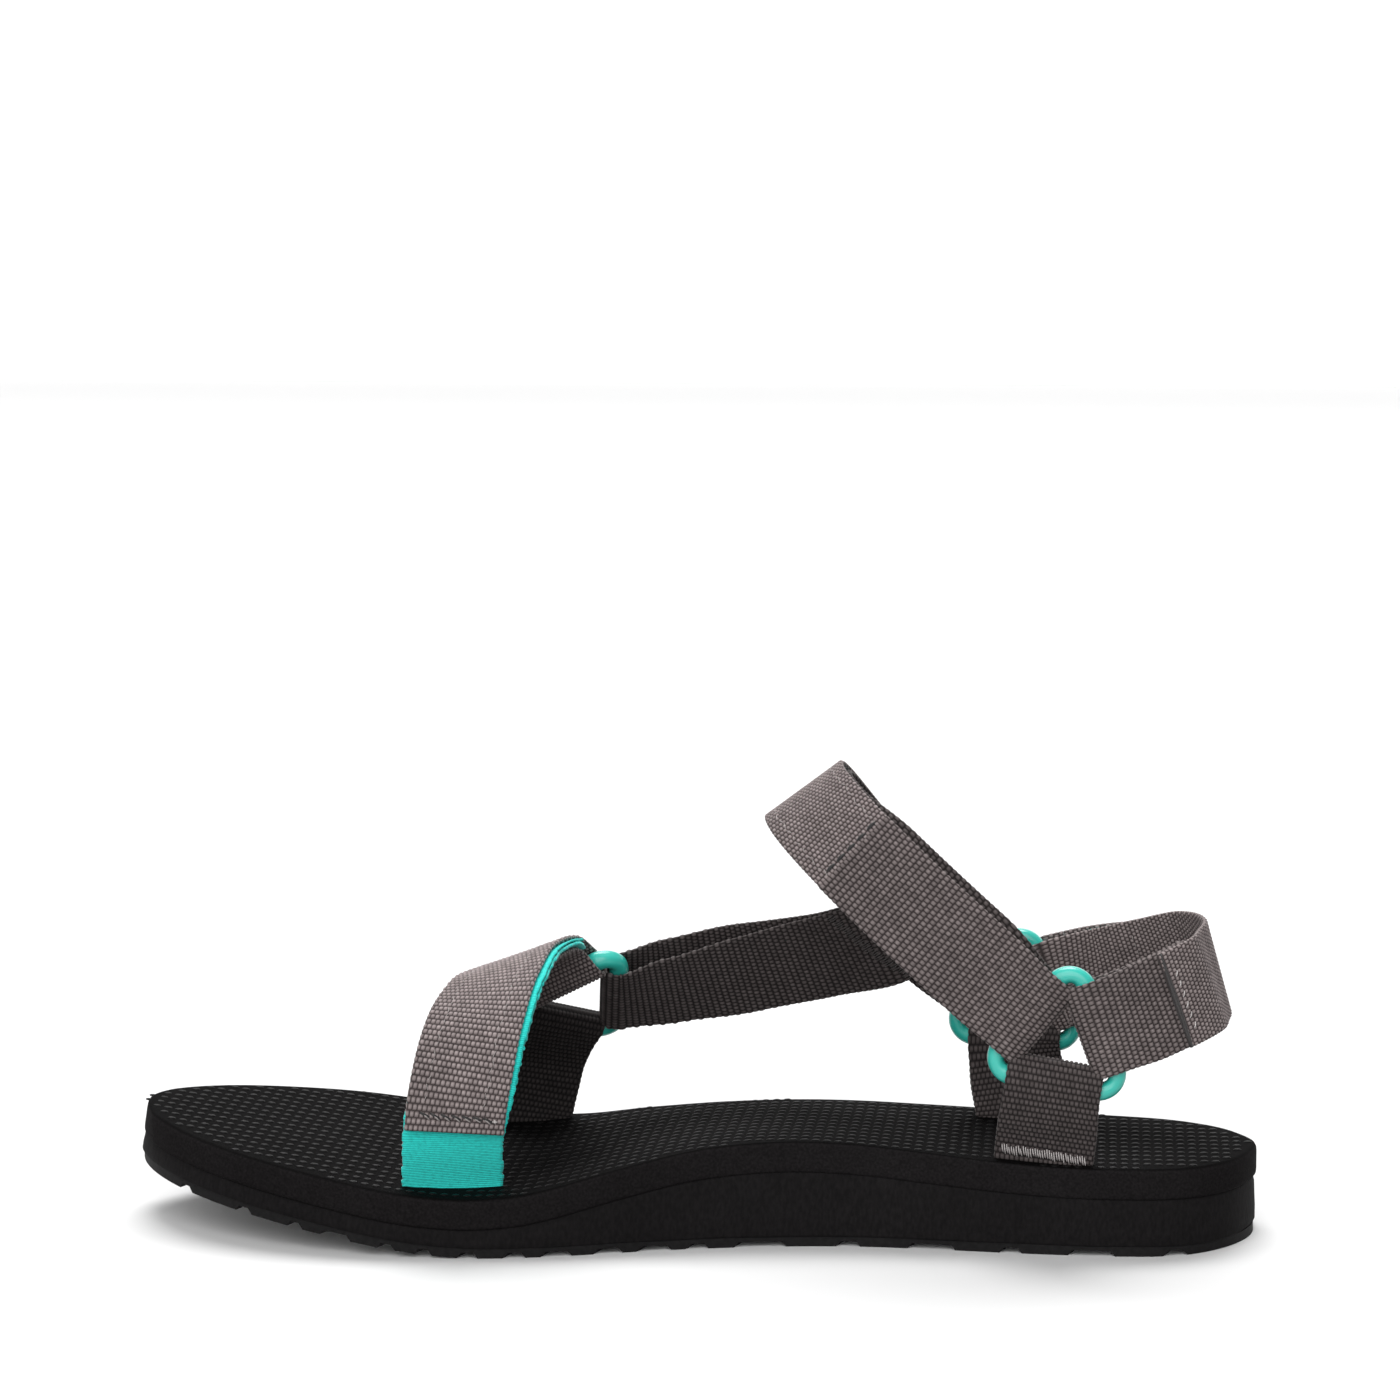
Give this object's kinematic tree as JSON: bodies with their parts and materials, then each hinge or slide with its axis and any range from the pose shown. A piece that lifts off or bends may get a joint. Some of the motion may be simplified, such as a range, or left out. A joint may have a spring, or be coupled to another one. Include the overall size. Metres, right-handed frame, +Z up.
{
  "type": "strappy sport sandal",
  "caption": "Right-foot sport sandal: foam sole with a rubber tread, webbing straps on triangular rings, and hook-and-loop flaps at toe, instep and heel.",
  "frame": {"origin": "on the ground under the middle of the sole's box", "axes": "+X towards the heel, -Y to the medial (arch) side, +Z up"},
  "size_m": [0.2571, 0.0892, 0.1068],
  "materials": {
    "outsole_rubber": "moulded rubber tread",
    "midsole_foam": "closed-cell foam, skived side",
    "footbed_foam": "closed-cell foam with a moulded texture",
    "ring_plastic": "moulded, satin gloss",
    "webbing": "woven polyester webbing",
    "loop_tape": "brushed loop tape",
    "hook_tape": "moulded hook tape"
  },
  "bodies": {
    "sandal": {"outsole": "outsole_rubber", "midsole": "midsole_foam", "topsole": "footbed_foam", "toe_ring": "ring_plastic", "ankle_ring_medial": "ring_plastic", "ankle_ring_lateral": "ring_plastic", "toe_strap": "webbing", "toe_anchor_lateral": "webbing", "connector_strap": "webbing", "instep_strap": "webbing", "heel_anchor_medial": "webbing", "heel_anchor_lateral": "webbing", "heel_ring_loop": "webbing", "heel_strap": "webbing", "toe_loop_tape": "loop_tape", "instep_loop_tape": "loop_tape", "heel_loop_tape": "loop_tape", "instep_hook_tape_fixed": "hook_tape"},
    "toe_closure": {"toe_flap": "webbing", "toe_hook_tape": "hook_tape"},
    "instep_closure": {"instep_flap": "webbing", "instep_hook_tape_flap": "hook_tape"},
    "heel_closure": {"heel_flap": "webbing", "heel_hook_tape": "hook_tape"}
  },
  "joints": [
    {"name": "toe_flap_peel", "type": "hinge", "parent": "sandal", "child": "toe_closure", "pos_m": [-0.03677, 0.01272, 0.05835], "axis": [-0.8873, 0.1348, -0.4411], "range_deg": [0, 100]},
    {"name": "instep_flap_peel", "type": "hinge", "parent": "sandal", "child": "instep_closure", "pos_m": [0.02493, 0.00328, 0.09964], "axis": [0.8024, 0.0612, 0.5937], "range_deg": [0, 100]},
    {"name": "heel_flap_peel", "type": "hinge", "parent": "sandal", "child": "heel_closure", "pos_m": [0.08915, 0.03017, 0.05288], "axis": [-0.1865, -0.0627, 0.9805], "range_deg": [0, 100]}
  ]
}
